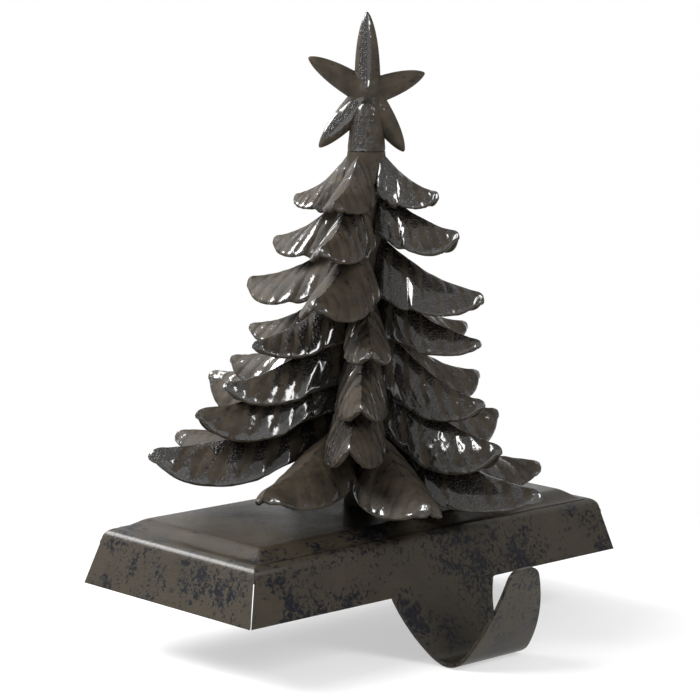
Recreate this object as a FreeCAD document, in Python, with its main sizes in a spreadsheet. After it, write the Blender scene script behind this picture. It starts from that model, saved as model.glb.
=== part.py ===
import FreeCAD, Part
import math
import os

import Sketcher
from FreeCAD import Placement, Rotation, Vector

# A mantel stocking holder: a cast tree of seven branch rings and a star, clamped by a rod to a folded
# sheet base whose front flange runs on as a hook. X is along the base, -Y is the room side, Z is up.
# The origin is the middle of the base's rim plane, which rests on the mantel shelf.

os.makedirs("parts", exist_ok=True)
doc = FreeCAD.newDocument("stocking_holder")

# Driving sizes in millimetres and degrees

SIZES = {
    # folded base
    "sheet": 1.2,
    "base_length": 150.0,
    "base_width": 70.0,
    "flange_height": 15.8,
    "end_flare": 4.7,
    "side_flare": 3.8,
    "end_bend_radius": 3.6,
    "side_bend_radius": 3.0,
    "platform_end_inset": 9.8,
    "platform_side_inset": 7.2,
    "platform_rise": 2.8,
    "platform_edge_radius": 2.2,
    "seam_gap": 0.4,
    "seam_height": 11.5,
    # hook
    "hook_root_width": 40.5,
    "hook_bend_width": 27.0,
    "hook_tip_width": 9.6,
    "hook_tip_radius": 4.2,
    "hook_root_radius": 1.0,
    "hook_lead": 0.2,
    "hook_sweep_radius": 29.6,
    "hook_sweep_angle": 49.0,
    "hook_bend_radius": 8.2,
    "hook_bend_angle": 144.0,
    "hook_lip_radius": 48.5,
    "hook_lip_angle": 176.0,
    "hook_lip_bulge": 0.8,
    # rod, nut, washer and post
    "rod_diameter": 5.0,
    "rod_clearance": 0.4,
    "rod_tail": 2.0,
    "nut_flats": 8.0,
    "nut_height": 4.0,
    "washer_diameter": 15.0,
    "washer_thickness": 1.0,
    "thread_engagement": 8.0,
    "post_diameter": 9.4,
    "post_height": 15.2,
    # all castings
    "casting_wall": 2.0,
    "hub_top_diameter": 10.8,
    "hub_skirt_diameter": 13.2,
    "skirt_overlap": 0.7,
    "rib_relief": 0.45,
    "ring_clearance": 1.0,
    # star
    "collar_diameter": 10.9,
    "collar_neck_diameter": 9.6,
    "collar_height": 11.5,
    "star_centre_height": 16.4,
    "star_arm_width": 8.6,
    "star_arm_thickness": 7.2,
    "star_facing": -134.7,
}

# Branch rings from the top down. pitch: height of the hub. reach: axis to branch tip. drop: hub top to
# tip. sag: how far the branch edges hang below the tip. half_width: crest to flank edge. turn: bearing
# of the first branch. lift and shift: how far the left side of the ring stands higher and longer.
RING_FIELDS = ("branches", "pitch", "reach", "drop", "sag", "half_width", "turn", "lift", "shift")
RINGS = (
    (4, 10.0, 22.8, 12.0, 2.4, 6.2, 22.0, -1.7, 0.0),
    (4, 14.0, 29.8, 13.7, 3.8, 7.0, 20.0, -2.8, 0.0),
    (4, 12.0, 37.2, 14.6, 5.4, 9.0, 23.0, -0.1, 0.0),
    (6, 12.0, 37.8, 16.2, 3.6, 6.2, 49.0, -0.6, 0.0),
    (6, 12.0, 42.9, 18.4, 5.0, 6.8, 45.0, 2.3, 2.4),
    (6, 14.0, 50.4, 16.3, 7.6, 7.8, 41.5, 4.6, 2.6),
    (8, 14.0, 60.2, 16.2, 5.4, 10.0, 19.3, 3.4, 2.6),
)
LEFT_BEARING = 135.3

# Branches whose tip stands higher, reaches further or hangs deeper than its ring's, as
# (ring, branch): (height, length, depth)
UNEVEN_BRANCHES = {
    (1, 4): (0.0, 0.0, 1.0),
    (2, 4): (0.0, 0.0, 1.8),
    (5, 2): (0.9, 0.9, 0.9),
    (5, 6): (2.2, 0.0, 1.5),
    (6, 2): (2.9, 3.3, 2.5),
    (6, 6): (2.7, -1.8, 1.5),
    (7, 4): (2.6, 1.6, 3.0),
    (7, 8): (0.8, 0.0, 0.0),
}

# Star arms as (bearing from the star's right-hand side, length), in the star's own plane
STAR_ARMS = ((91.4, 23.5), (149.6, 20.0), (229.0, 20.9), (303.4, 19.8), (20.8, 17.5))

# Stations along a branch from root to tip, and along a star arm from centre to tip
BRANCH_STATIONS = (0.0, 0.16, 0.34, 0.52, 0.68, 0.83, 0.93, 0.985)
ARM_STATIONS = (0.0, 0.3, 0.5, 0.7, 0.87, 0.98)
ARM_SIDES = 10
HUB_SIDES = 12
CREST_POWER = 1.8
BELLY_POWER = 1.9
ROOF_SLOPE = 0.42


def fill_sheet():
    """The spreadsheet that drives the model, one alias for each size."""
    cells = dict(SIZES)
    for ring, values in enumerate(RINGS, start=1):
        for field, value in zip(RING_FIELDS, values):
            cells[f"ring{ring}_{field}"] = value
    sheet = doc.addObject("Spreadsheet::Sheet", "Sizes")
    for row, (name, value) in enumerate(cells.items(), start=1):
        sheet.set(f"A{row}", name)
        sheet.set(f"B{row}", str(value))
        sheet.setAlias(f"B{row}", name)
    doc.recompute()
    return sheet


sheet = fill_sheet()


def size(name):
    return float(getattr(sheet, name))


def ring_size(ring, field):
    return size(f"ring{ring}_{field}")


# Heights that follow from the sizes

PLATFORM_TOP = size("flange_height") + size("platform_rise")
PLATFORM_UNDER = PLATFORM_TOP - size("sheet")
BORE_DIAMETER = size("rod_diameter") + size("rod_clearance")


def hub_top(ring):
    """Height of the top of a ring's hub, counted up from the post."""
    height = PLATFORM_TOP + size("post_height")
    for lower in range(ring, len(RINGS) + 1):
        height += ring_size(lower, "pitch")
    return height


STACK_TOP = hub_top(1)


# Sketch helpers

def plane_of(body, role):
    return next(f for f in body.Origin.OriginFeatures if f.Role == role)


def new_sketch(body, name, role):
    sketch = body.newObject("Sketcher::SketchObject", name)
    sketch.AttachmentSupport = [(plane_of(body, role), "")]
    sketch.MapMode = "FlatFace"
    return sketch


def profile(body, name, role, *polygons):
    """A sketch of closed polygons whose corners are placed by expressions in the sheet's sizes."""
    sketch = new_sketch(body, name, role)
    for polygon in polygons:
        first = sketch.GeometryCount
        points = [Vector(number(sketch, across), number(sketch, up), 0) for across, up in polygon]
        for start, end in zip(points, points[1:] + points[:1]):
            sketch.addGeometry(Part.LineSegment(start, end), False)
        for index, (across, up) in enumerate(polygon):
            line = first + index
            before = first + (index - 1) % len(polygon)
            sketch.addConstraint(Sketcher.Constraint("Coincident", before, 2, line, 1))
            place(sketch, "DistanceX", line, across)
            place(sketch, "DistanceY", line, up)
    doc.recompute()
    return sketch


def number(sketch, expression):
    return float(sketch.evalExpression(expression))


def place(sketch, direction, line, expression):
    """Ties the start of a line to the sketch's origin at the distance that the expression gives."""
    if expression == "0":
        axis = -2 if direction == "DistanceX" else -1
        sketch.addConstraint(Sketcher.Constraint("PointOnObject", line, 1, axis))
        return
    value = number(sketch, expression)
    index = sketch.addConstraint(Sketcher.Constraint(direction, -1, 1, line, 1, value))
    sketch.setExpression(f"Constraints[{index}]", expression)


def free_outline(body, name, role, offset, geometry):
    """A sketch of lines and arcs worked out beforehand, on a plane moved along its own normal."""
    sketch = new_sketch(body, name, role)
    sketch.AttachmentOffset = offset
    for item in geometry:
        sketch.addGeometry(item, False)
    doc.recompute()
    return sketch


def edges_where(shape, test, longest=math.inf):
    """Names of the edges up to a length whose two ends both pass the test."""
    names = []
    for index, edge in enumerate(shape.Edges, start=1):
        if edge.Length <= longest and all(test(vertex.Point) for vertex in edge.Vertexes):
            names.append(f"Edge{index}")
    return names


# Folded base

def pan_prism(name, role, span, side, depth, layer):
    """The pan's section in one direction, run straight through. layer is 0 outside and 1 inside."""
    body = doc.addObject("PartDesign::Body", name)
    skin = f"{layer} * Sizes.sheet"
    lean = f"Sizes.{side}_flare / Sizes.flange_height"
    rim_x = f"Sizes.{span} / 2 - {skin} * sqrt(1 + ({lean}) ^ 2)"
    shoulder_z = f"Sizes.flange_height - {skin}"
    shoulder_x = f"{rim_x} - {lean} * ({shoulder_z})"
    platform_x = f"Sizes.{span} / 2 - Sizes.platform_{side}_inset - {skin}"
    top_z = f"{shoulder_z} + Sizes.platform_rise"
    right = [(rim_x, "0"), (shoulder_x, shoulder_z), (platform_x, shoulder_z), (platform_x, top_z)]
    left = [(f"-({across})", up) for across, up in reversed(right)]
    prism = body.newObject("PartDesign::Pad", name + "Prism")
    prism.Profile = profile(body, name + "Section", role, right + left)
    prism.SideType = "Symmetric"
    prism.setExpression("Length", f"Sizes.{depth}")
    doc.recompute()

    bends = (
        ("Bend", shoulder_x, shoulder_z, f"{side}_bend_radius"),
        ("PlatformEdge", platform_x, top_z, "platform_edge_radius"),
    )
    for bend, across, up, radius in bends:
        base = body.Tip
        x = number(prism, across)
        z = number(prism, up)
        horizontal = 0 if role == "XZ_Plane" else 1
        rounding = body.newObject("PartDesign::Fillet", name + bend)
        corners = edges_where(
            base.Shape, lambda p: abs(abs(p[horizontal]) - x) < 1e-3 and abs(p.z - z) < 1e-3
        )
        rounding.Base = (base, corners)
        rounding.setExpression("Radius", f"Sizes.{radius} - {skin}")
        doc.recompute()
        body.Tip = rounding
    return body


def pan_solid(name, layer):
    """The pan as a solid block: what the lengthwise and the crosswise section have in common."""
    block = doc.addObject("Part::Common", name)
    block.Base = pan_prism(name + "Long", "XZ_Plane", "base_length", "end", "base_width", layer)
    block.Tool = pan_prism(name + "Cross", "YZ_Plane", "base_width", "side", "base_length", layer)
    doc.recompute()
    return block


def heading(angle):
    """Direction in the YZ plane, turned from straight down towards the room."""
    return Vector(-math.sin(angle), -math.cos(angle), 0)


def inward(angle):
    """Direction to the centre of a bend at the same angle."""
    return Vector(-math.cos(angle), math.sin(angle), 0)


def bend_arc(start, radius, begin, end):
    centre = start + inward(begin) * radius
    middle = centre - inward((begin + end) / 2) * radius
    finish = centre - inward(end) * radius
    return Part.Arc(start, middle, finish), centre, finish


def hook_body():
    """The tongue that runs on down from the front flange, sweeps forward and turns up as a hook."""
    body = doc.addObject("PartDesign::Body", "HookBody")
    half_sheet = size("sheet") / 2
    flange_angle = math.atan(size("side_flare") / size("flange_height"))
    sweep_angle = math.radians(size("hook_sweep_angle"))
    bend_angle = math.radians(size("hook_bend_angle"))
    lip_angle = math.radians(size("hook_lip_angle"))
    sunk = size("sheet")

    # The path is the sheet's middle line. It starts inside the flange, a little above the rim.
    rim = Vector(-size("base_width") / 2 + half_sheet / math.cos(flange_angle), 0, 0)
    start = rim - heading(flange_angle) * sunk
    lead_end = rim + heading(flange_angle) * size("hook_lead")
    sweep, sweep_centre, sweep_end = bend_arc(
        lead_end, size("hook_sweep_radius"), flange_angle, sweep_angle
    )
    bend, bend_centre, bend_end = bend_arc(sweep_end, size("hook_bend_radius"), sweep_angle, bend_angle)
    lip, lip_centre, lip_end = bend_arc(bend_end, size("hook_lip_radius"), bend_angle, lip_angle)
    path = free_outline(
        body,
        "HookPath",
        "YZ_Plane",
        Placement(),
        [Part.LineSegment(start, lead_end), sweep, bend, lip],
    )

    root = size("hook_root_width") / 2
    waist = size("hook_bend_width") / 2
    tip = size("hook_tip_width") / 2
    radius = size("hook_root_radius")
    edge = root + radius
    corners = [(-edge, -half_sheet), (edge, -half_sheet), (edge, half_sheet), (-edge, half_sheet)]
    section = free_outline(
        body,
        "HookSection",
        "XZ_Plane",
        Placement(Vector(0, start.y, -start.x), Rotation(Vector(1, 0, 0), 90 - math.degrees(flange_angle))),
        polygon_lines(corners),
    )
    strip = body.newObject("PartDesign::AdditivePipe", "HookStrip")
    strip.Profile = section
    strip.Spine = path
    doc.recompute()

    # Seen from the room, the strap narrows down to the bend and the lip narrows up to its tip.
    lowest = bend_centre.y - size("hook_bend_radius")
    below = lowest - 2 * size("sheet")
    beyond = edge + 2 * size("sheet")
    root_arc = [(edge, 0), (root + 0.29 * radius, -0.29 * radius), (root, -radius)]
    strap = [(root, -radius), (waist, lowest), (waist, below), (beyond, below), (beyond, 0), (edge, 0)]
    over = 2 * size("sheet")
    above = lip_end.y + over
    narrow = tip - over * (waist - tip) / (lip_end.y - lowest)
    middle = ((waist + narrow) / 2 + size("hook_lip_bulge"), (lowest + above) / 2)
    lip_side = [(waist, lowest), middle, (narrow, above)]
    lip_waste = [(narrow, above), (beyond, above), (beyond, below), (waist, below), (waist, lowest)]
    strap_lines = []
    lip_lines = []
    for side in (-1, 1):
        strap_lines.append(Part.Arc(*[Vector(side * x, z, 0) for x, z in root_arc]))
        strap_lines += polygon_lines([(side * x, z) for x, z in strap], closed=False)
        lip_lines.append(Part.Arc(*[Vector(side * x, z, 0) for x, z in lip_side]))
        lip_lines += polygon_lines([(side * x, z) for x, z in lip_waste], closed=False)

    plane = Placement(Vector(0, 0, -bend_centre.x), Rotation())
    for name, lines, to_room in (("StrapTrim", strap_lines, False), ("LipTrim", lip_lines, True)):
        before = body.Tip.Shape.Volume
        trim = body.newObject("PartDesign::Pocket", name)
        trim.Profile = free_outline(body, name + "Outline", "XZ_Plane", plane, lines)
        trim.Type = 0
        trim.setExpression("Length", "Sizes.base_width")
        trim.Reversed = to_room
        doc.recompute()
        if trim.Shape.Volume > before - 1:
            raise RuntimeError(name + " cuts nothing")
        body.Tip = trim

    trimmed = body.Tip
    rounding = body.newObject("PartDesign::Fillet", "HookTip")
    rounding.Base = (
        trimmed,
        edges_where(trimmed.Shape, lambda p: p.z > lip_end.y - size("sheet"), 1.5 * size("sheet")),
    )
    rounding.setExpression("Radius", "Sizes.hook_tip_radius")
    doc.recompute()
    body.Tip = rounding
    return body


def polygon_lines(corners, closed=True):
    """Line segments through the corners, back to the first one where the outline is closed."""
    points = [Vector(x, y, 0) for x, y in corners]
    ends = points[1:] + points[:1] if closed else points[1:]
    return [Part.LineSegment(start, end) for start, end in zip(points, ends)]


def seam_blade(name, side_x, side_y):
    """A thin blade that opens the seam between two flanges at one corner, up to below the bend."""
    blade = doc.addObject("Part::Box", name)
    clear = size("sheet")
    reach = math.hypot(size("end_flare"), size("side_flare")) + 2 * size("sheet")
    blade.Length = reach + clear
    blade.setExpression("Width", "Sizes.seam_gap")
    blade.Height = size("seam_height") + clear
    bearing = math.atan2(side_y * size("side_flare"), side_x * size("end_flare"))
    along = Vector(math.cos(bearing), math.sin(bearing), 0)
    across = Vector(-math.sin(bearing), math.cos(bearing), 0)
    corner = Vector(side_x * size("base_length") / 2, side_y * size("base_width") / 2, -clear)
    blade.Placement = Placement(
        corner - along * reach - across * (size("seam_gap") / 2),
        Rotation(Vector(0, 0, 1), math.degrees(bearing)),
    )
    return blade


def mantel_base():
    """Folded sheet: a pan with four flanges and a raised platform, and the hook on its front flange."""
    shell = doc.addObject("Part::Cut", "Pan")
    shell.Base = pan_solid("PanOutside", 0)
    shell.Tool = pan_solid("PanInside", 1)

    joined = doc.addObject("Part::Fuse", "PanAndHook")
    joined.Base = shell
    joined.Tool = hook_body()
    joined.Refine = True

    hole = doc.addObject("Part::Cylinder", "RodHole")
    hole.setExpression("Radius", "(Sizes.rod_diameter + Sizes.rod_clearance) / 2")
    hole.setExpression("Height", "Sizes.flange_height + Sizes.platform_rise")
    hole.Placement = Placement(Vector(0, 0, size("sheet")), Rotation())
    cutters = doc.addObject("Part::MultiFuse", "SeamsAndHole")
    corners = ((-1, -1), (1, -1), (1, 1), (-1, 1))
    cutters.Shapes = [hole] + [seam_blade(f"Seam{k}", x, y) for k, (x, y) in enumerate(corners, start=1)]
    base = doc.addObject("Part::Cut", "Base")
    base.Base = joined
    base.Tool = cutters
    base.Label = "mantel_base"
    doc.recompute()
    return base


# Rod and fasteners

def ring_solid(name, label, outer_expression, inner_expression, height_expression, bottom):
    """A plain tube standing on the axis, used for the post and the washer."""
    outer = doc.addObject("Part::Cylinder", name + "Outer")
    outer.setExpression("Radius", outer_expression)
    outer.setExpression("Height", height_expression)
    bore = doc.addObject("Part::Cylinder", name + "Bore")
    bore.setExpression("Radius", inner_expression)
    bore.setExpression("Height", height_expression)
    tube = doc.addObject("Part::Cut", name)
    tube.Base = outer
    tube.Tool = bore
    tube.Label = label
    tube.Placement = Placement(Vector(0, 0, bottom), Rotation())
    doc.recompute()
    return tube


def trunk_post():
    return ring_solid(
        "Post",
        "trunk_post",
        "Sizes.post_diameter / 2",
        "(Sizes.rod_diameter + Sizes.rod_clearance) / 2",
        "Sizes.post_height",
        PLATFORM_TOP,
    )


def tie_washer():
    return ring_solid(
        "Washer",
        "tie_washer",
        "Sizes.washer_diameter / 2",
        "(Sizes.rod_diameter + Sizes.rod_clearance) / 2",
        "Sizes.washer_thickness",
        PLATFORM_UNDER - size("washer_thickness"),
    )


def tie_nut():
    """A hexagon nut with chamfered corners, screwed up against the washer."""
    body = doc.addObject("PartDesign::Body", "Nut")
    across_corners = "Sizes.nut_flats / 2 / cos(30)"
    hexagon = [
        (f"{across_corners} * cos({60 * k + 30})", f"{across_corners} * sin({60 * k + 30})") for k in range(6)
    ]
    prism = body.newObject("PartDesign::Pad", "NutPrism")
    prism.Profile = profile(body, "NutOutline", "XY_Plane", hexagon)
    prism.setExpression("Length", "Sizes.nut_height")
    doc.recompute()

    flat = "Sizes.nut_flats * 0.475"
    wide = "Sizes.nut_flats * 0.7"
    drop = "Sizes.nut_flats * 0.225 * tan(30)"
    lower = [(flat, "0"), (wide, "0"), (wide, drop)]
    upper = [(flat, "Sizes.nut_height"), (wide, "Sizes.nut_height"), (wide, f"Sizes.nut_height - {drop}")]
    chamfer = body.newObject("PartDesign::Groove", "NutChamfer")
    chamfer.Profile = profile(body, "NutChamferSection", "XZ_Plane", lower, upper)
    chamfer.ReferenceAxis = (chamfer.Profile[0], ["V_Axis"])
    chamfer.Angle = 360.0
    doc.recompute()

    bore = body.newObject("PartDesign::Hole", "NutBore")
    centre = new_sketch(body, "NutCentre", "XY_Plane")
    circle = centre.addGeometry(Part.Circle(Vector(0, 0, 0), Vector(0, 0, 1), size("rod_diameter") / 2), False)
    centre.addConstraint(Sketcher.Constraint("Coincident", circle, 3, -1, 1))
    width = centre.addConstraint(Sketcher.Constraint("Diameter", circle, size("rod_diameter")))
    centre.setExpression(f"Constraints[{width}]", "Sizes.rod_diameter")
    doc.recompute()
    bore.Profile = centre
    bore.setExpression("Diameter", "Sizes.rod_diameter")
    bore.DepthType = 1
    bore.Reversed = True
    doc.recompute()
    body.Tip = bore
    body.Label = "tie_nut"
    body.Placement = Placement(
        Vector(0, 0, PLATFORM_UNDER - size("washer_thickness") - size("nut_height")), Rotation()
    )
    doc.recompute()
    return body


def tie_rod():
    """The rod that clamps the stack between the star and the nut."""
    bottom = PLATFORM_UNDER - size("washer_thickness") - size("nut_height") - size("rod_tail")
    top = STACK_TOP + size("thread_engagement")
    rod = doc.addObject("Part::Cylinder", "Rod")
    rod.setExpression("Radius", "Sizes.rod_diameter / 2")
    rod.Height = top - bottom
    rod.Placement = Placement(Vector(0, 0, bottom), Rotation())
    doc.recompute()
    chamfered = doc.addObject("Part::Chamfer", "RodEnds")
    chamfered.Base = rod
    bevel = 0.1 * size("rod_diameter")
    rims = [n for n, e in enumerate(rod.Shape.Edges, start=1) if isinstance(e.Curve, Part.Circle)]
    chamfered.Edges = [(n, bevel, bevel) for n in rims]
    chamfered.Label = "tie_rod"
    doc.recompute()
    return chamfered


# Castings

def skin_solid(rings):
    """A closed solid through rings of points, with three-sided facets like a rough casting."""
    faces = []

    def facet(a, b, c):
        faces.append(Part.Face(Part.makePolygon([a, b, c, a])))

    count = len(rings[0])
    for lower, upper in zip(rings, rings[1:]):
        for index in range(count):
            after = (index + 1) % count
            facet(lower[index], lower[after], upper[index])
            facet(lower[after], upper[after], upper[index])
    for ring in (rings[0], rings[-1]):
        for index in range(count // 2 - 1):
            facet(ring[index], ring[index + 1], ring[count - 1 - index])
            facet(ring[index + 1], ring[count - 2 - index], ring[count - 1 - index])
    solid = Part.Solid(Part.Shell(faces))
    if solid.Volume < 0:
        solid.reverse()
    return solid


def branch_numbers(ring):
    return range(1, int(ring_size(ring, "branches")) + 1)


def bearing_of(ring, branch):
    return ring_size(ring, "turn") + 360.0 * (branch - 1) / ring_size(ring, "branches")


def branch_line(ring, branch):
    """Root radius, reach, top height, tip height and sag of one branch."""
    lean = math.cos(math.radians(bearing_of(ring, branch) - LEFT_BEARING))
    raised, longer, deeper = UNEVEN_BRANCHES.get((ring, branch), (0.0, 0.0, 0.0))
    root = size("hub_top_diameter") / 2 - 0.3 * size("casting_wall")
    reach = ring_size(ring, "reach") + ring_size(ring, "shift") * lean + longer
    top = hub_top(ring)
    tip = top - ring_size(ring, "drop") + ring_size(ring, "lift") * lean + raised
    return root, reach, top, tip, ring_size(ring, "sag") + deeper


def crest_height(ring, branch, along):
    root, reach, top, tip, _ = branch_line(ring, branch)
    station = min(1.0, max(0.0, (along - root) / (reach - root)))
    return tip + (top - tip) * (1 - station) ** CREST_POWER


def roof(ring, x, y):
    """Height of a ring's upper side at a point, or of the platform below the last ring."""
    if ring > len(RINGS):
        return PLATFORM_TOP
    height = PLATFORM_TOP
    if math.hypot(x, y) < size("hub_skirt_diameter") / 2:
        height = hub_top(ring)
    for branch in branch_numbers(ring):
        angle = math.radians(bearing_of(ring, branch))
        along = x * math.cos(angle) + y * math.sin(angle)
        across = abs(y * math.cos(angle) - x * math.sin(angle))
        reach = branch_line(ring, branch)[1]
        if 0 < along < reach + 1.5 and across < ring_size(ring, "half_width") + 1.5:
            height = max(height, crest_height(ring, branch, along) - ROOF_SLOPE * across)
    return height


def branch_section(ring, branch, number):
    """One section of a branch: an inverted V with a thick wall, hollow underneath.

    The points are (along, across, height). Near the hub the flanks reach the neighbouring branches and
    make a folded skirt with them. Both edges hang free of the ring below.
    """
    station = BRANCH_STATIONS[number]
    root, reach, top, tip, sag = branch_line(ring, branch)
    wall = size("casting_wall")
    along = root + (reach - root) * station
    crest = crest_height(ring, branch, along)
    nose = (1 - (max(0.0, station - 0.5) / 0.5) ** 2) ** 0.6
    bow = math.sqrt(1 - (max(0.0, station - 0.55) / 0.45) ** 4)
    rake = 0.12 * reach * (1 - station) * math.sin(math.pi * min(1.0, 2 * station))
    meeting = (along + rake) * math.tan(math.pi / ring_size(ring, "branches")) + size("skirt_overlap")
    width = max(min(ring_size(ring, "half_width"), meeting) * nose, 0.9 * wall)
    droop = sag * math.sin(math.pi * station**BELLY_POWER)
    hang = max((crest - tip + 0.5 * wall + droop) * bow, 1.7 * wall)
    at_end = number in (0, len(BRANCH_STATIONS) - 1)
    rib = 0.0 if at_end else size("rib_relief") * nose * (1 if number % 2 else -1)
    angle = math.radians(bearing_of(ring, branch))

    def half(side):
        """Outer and inner points of one flank, from its edge up to below the crest."""
        edge_x = (along + rake) * math.cos(angle) - side * width * math.sin(angle)
        edge_y = (along + rake) * math.sin(angle) + side * width * math.cos(angle)
        lowest = roof(ring + 1, edge_x, edge_y) + size("ring_clearance")
        edge = min(max(crest - hang, lowest), crest - 1.3 * wall)
        depth = crest - edge
        shoulder = crest - 0.36 * depth
        outer = [
            (along + rake, side * (width + 0.5 * rib), edge),
            (along + rake / 2, side * (0.55 * width + 0.6 * rib), shoulder + 0.6 * rib),
        ]
        under = max(min(shoulder - 0.8 * wall, crest - wall - 0.1 * depth), edge + 0.2 * wall)
        inner = [
            (along + rake, side * max(width - 0.85 * wall, 0.2 * width), edge + 0.05 * wall),
            (along + rake / 2, side * max(0.55 * width - 0.6 * wall, 0.1 * width), under),
        ]
        return outer, inner

    right_outer, right_inner = half(-1)
    left_outer, left_inner = half(1)
    line = right_outer + [(along, 0.0, crest)] + left_outer[::-1]
    line += left_inner + [(along, 0.0, crest - wall)] + right_inner[::-1]
    return [Vector(*point) for point in line]


def branch_solid(ring, branch):
    sections = [branch_section(ring, branch, number) for number in range(len(BRANCH_STATIONS))]
    solid = skin_solid(sections)
    solid.rotate(Vector(0, 0, 0), Vector(0, 0, 1), bearing_of(ring, branch))
    return solid


def turned_facets(outline, turn=0.0):
    """A solid turned about the Z axis in flat facets, through (radius, height) points from the bottom up."""
    rings = []
    for radius, height in outline:
        ring = []
        for side in range(HUB_SIDES):
            angle = math.radians(turn) + 2 * math.pi * side / HUB_SIDES
            ring.append(Vector(radius * math.cos(angle), radius * math.sin(angle), height))
        rings.append(ring)
    return skin_solid(rings)


def hub_solid(ring):
    """The hub: a neck that widens to a skirt between the branches, with a flat seat on the hub below."""
    top = hub_top(ring)
    seat = top - ring_size(ring, "pitch")
    neck = size("hub_top_diameter") / 2
    skirt = size("hub_skirt_diameter") / 2
    outline = [
        (neck, seat),
        (skirt, seat + 1.2),
        (0.45 * neck + 0.55 * skirt, seat + 0.45 * (top - seat)),
        (neck, top),
    ]
    return turned_facets(outline, ring_size(ring, "turn"))


def branch_ring(ring):
    """One casting: the hub and its branches in one piece, bored for the rod."""
    casting = hub_solid(ring).fuse([branch_solid(ring, branch) for branch in branch_numbers(ring)])
    casting = casting.cut(Part.makeCylinder(BORE_DIAMETER / 2, STACK_TOP))
    feature = doc.addObject("Part::Feature", f"BranchRing{ring}")
    feature.Shape = casting
    feature.Label = f"branch_ring_{ring}"
    return feature


def star_arm(bearing, length):
    """One bulged arm of the star, a loft of flattened ten-sided sections."""
    rings = []
    for station in ARM_STATIONS:
        taper = (1 - station**1.8) ** 0.75 + 0.04
        half_width = size("star_arm_width") / 2 * taper
        half_thickness = size("star_arm_thickness") / 2 * taper * (1 - 0.35 * station)
        ring = []
        for side in range(ARM_SIDES):
            angle = 2 * math.pi * (side + 0.5) / ARM_SIDES
            ring.append(
                Vector(length * station, half_thickness * math.sin(angle), half_width * math.cos(angle))
            )
        rings.append(ring)
    arm = skin_solid(rings)
    arm.rotate(Vector(0, 0, 0), Vector(0, 1, 0), -bearing)
    return arm


def star_finial():
    """The five-armed star on its collar, with a blind threaded hole for the rod."""
    centre = size("star_centre_height")
    height = size("collar_height")
    foot = size("collar_diameter") / 2
    neck = size("collar_neck_diameter") / 2
    collar = turned_facets(
        [
            (foot, 0),
            (neck, 0.6 * height),
            (0.85 * neck, height),
            (0.45 * neck, centre - 0.3 * size("star_arm_width")),
        ]
    )
    arms = []
    for bearing, length in STAR_ARMS:
        arm = star_arm(bearing, length)
        arm.translate(Vector(0, 0, centre))
        arms.append(arm)
    star = collar.fuse(arms)
    thread = Part.makeCylinder(size("rod_diameter") / 2, size("thread_engagement") + 1.0)
    star = star.cut(thread)
    feature = doc.addObject("Part::Feature", "Star")
    feature.Shape = star
    feature.Label = "star_finial"
    # The star's right-hand side lies a quarter turn on from the bearing that it faces.
    feature.Placement = Placement(
        Vector(0, 0, STACK_TOP), Rotation(Vector(0, 0, 1), size("star_facing") + 90)
    )
    return feature


def build():
    nodes = [mantel_base(), trunk_post(), tie_washer(), tie_nut(), tie_rod()]
    for ring in range(1, len(RINGS) + 1):
        nodes.append(branch_ring(ring))
    nodes.append(star_finial())
    doc.recompute()
    return nodes


def check_and_export(nodes):
    for item in doc.Objects:
        if "Invalid" in item.State or "Error" in item.State:
            raise RuntimeError(f"{item.Name} did not build: {item.State}")
    for node in nodes:
        shape = node.Shape
        if shape.isNull() or not shape.isValid():
            raise RuntimeError(f"{node.Label} has no valid shape")
        print(node.Label, "solids", len(shape.Solids), "volume", round(shape.Volume, 1))
        shape.exportStep(f"parts/{node.Label}.step")


check_and_export(build())
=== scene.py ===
import math

import bmesh
import bpy
import numpy as np
from mathutils import Matrix, Vector

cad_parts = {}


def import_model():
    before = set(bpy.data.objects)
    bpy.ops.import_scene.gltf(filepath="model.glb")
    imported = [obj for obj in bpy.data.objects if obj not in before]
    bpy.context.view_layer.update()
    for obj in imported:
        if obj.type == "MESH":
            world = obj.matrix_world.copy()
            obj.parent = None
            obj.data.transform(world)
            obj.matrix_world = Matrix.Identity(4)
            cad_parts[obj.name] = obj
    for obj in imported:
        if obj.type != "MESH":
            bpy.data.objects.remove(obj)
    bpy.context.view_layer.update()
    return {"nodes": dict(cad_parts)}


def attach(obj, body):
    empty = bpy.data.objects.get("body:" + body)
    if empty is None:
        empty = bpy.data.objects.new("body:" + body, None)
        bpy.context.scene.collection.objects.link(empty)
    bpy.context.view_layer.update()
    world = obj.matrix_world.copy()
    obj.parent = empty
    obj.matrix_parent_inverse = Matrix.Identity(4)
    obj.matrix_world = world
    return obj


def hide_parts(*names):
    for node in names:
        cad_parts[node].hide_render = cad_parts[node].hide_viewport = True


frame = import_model()

# Looks of the mantel stocking holder: branch rings and star as detailed castings around the packed
# frame, the folded base with its finish, a plain studio and the photograph's viewing angle.
# Shapes are worked out in millimetres and written to the meshes in metres.

MM = 0.001


# Stack of castings

PLATFORM_TOP = 18.6
POST_TOP = 33.8
LAST_RING = 7
LEFT_BEARING = 135.3  # degrees from +X to what is left in the photograph

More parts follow.
